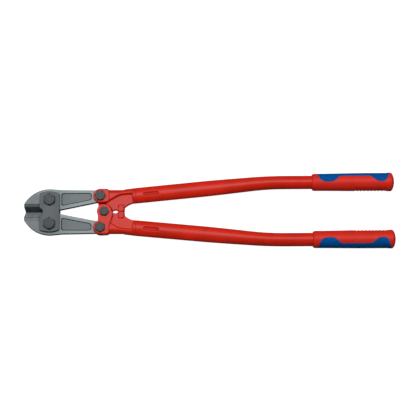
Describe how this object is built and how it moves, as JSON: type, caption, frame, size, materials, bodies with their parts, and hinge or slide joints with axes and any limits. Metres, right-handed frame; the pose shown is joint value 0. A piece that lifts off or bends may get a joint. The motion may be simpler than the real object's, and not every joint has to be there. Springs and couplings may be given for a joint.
{
  "type": "bolt cutters",
  "caption": "Long-handled bolt cutters with a compound-lever head, short forged jaws, red tubular handles and two-colour grips, shown closed.",
  "frame": {"origin": "on the surface the closed tool lies on, under the middle of its bounding box", "axes": "+X from the jaws to the grips, +Y across from the lower handle to the upper one, +Z out of the face with the bolt heads"},
  "size_m": [0.76, 0.1576, 0.0386],
  "materials": {
    "plate_steel": "dark grey phosphated steel plate, satin",
    "blade_steel": "grey shot-blasted forged steel with ground bevels",
    "dark_bolt": "black oxide, slightly oily",
    "washer_steel": "plain turned steel",
    "red_paint": "satin red powder coat",
    "red_pad": "smooth red moulded bumper",
    "red_plastic": "red moulded plastic, fine texture",
    "blue_rubber": "blue soft elastomer, fine texture"
  },
  "bodies": {
    "head": {"front_link_plate": "plate_steel", "rear_link_plate": "plate_steel", "upper_head_bolt": "dark_bolt", "lower_head_bolt": "dark_bolt", "head_washers": "washer_steel", "head_nuts": "dark_bolt"},
    "lower_blade": {"lower_blade": "blade_steel"},
    "lower_handle": {"lower_bracket": "red_paint", "lower_stop_pad": "red_pad", "lower_tube": "red_paint", "lower_grip": "red_plastic", "lower_grip_inlay": "blue_rubber", "lower_ear_bolt": "dark_bolt", "lower_ear_washer": "washer_steel", "lower_ear_nut": "dark_bolt", "centre_bolt": "dark_bolt", "centre_washer": "washer_steel", "centre_nut": "dark_bolt"},
    "upper_handle": {"upper_bracket": "red_paint", "upper_stop_pad": "red_pad", "upper_tube": "red_paint", "upper_grip": "red_plastic", "upper_grip_inlay": "blue_rubber", "upper_ear_bolt": "dark_bolt", "upper_ear_washer": "washer_steel", "upper_ear_nut": "dark_bolt"},
    "upper_blade": {"upper_blade": "blade_steel"}
  },
  "joints": [
    {"name": "lower_blade_pivot", "type": "hinge", "parent": "head", "child": "lower_blade", "pos_m": [-0.3273, -0.0249, 0.0193], "axis": [0, 0, 1], "range_deg": [0, 8.5]},
    {"name": "lower_ear_pivot", "type": "hinge", "parent": "lower_blade", "child": "lower_handle", "pos_m": [-0.2236, -0.0328, 0.0193], "axis": [0, 0, 1], "range_deg": [-53.5, 0]},
    {"name": "handle_pivot", "type": "hinge", "parent": "lower_handle", "child": "upper_handle", "pos_m": [-0.2154, 0, 0.0193], "axis": [0, 0, 1], "range_deg": [0, 90]},
    {"name": "upper_ear_pivot", "type": "hinge", "parent": "upper_handle", "child": "upper_blade", "pos_m": [-0.2236, 0.0328, 0.0193], "axis": [0, 0, 1], "range_deg": [-53.5, 0]}
  ],
  "couplings": [
    {"joint": "lower_blade_pivot", "follows": "handle_pivot", "ratio": 0.094386},
    {"joint": "lower_ear_pivot", "follows": "handle_pivot", "ratio": -0.59439},
    {"joint": "upper_ear_pivot", "follows": "handle_pivot", "ratio": -0.59439}
  ]
}
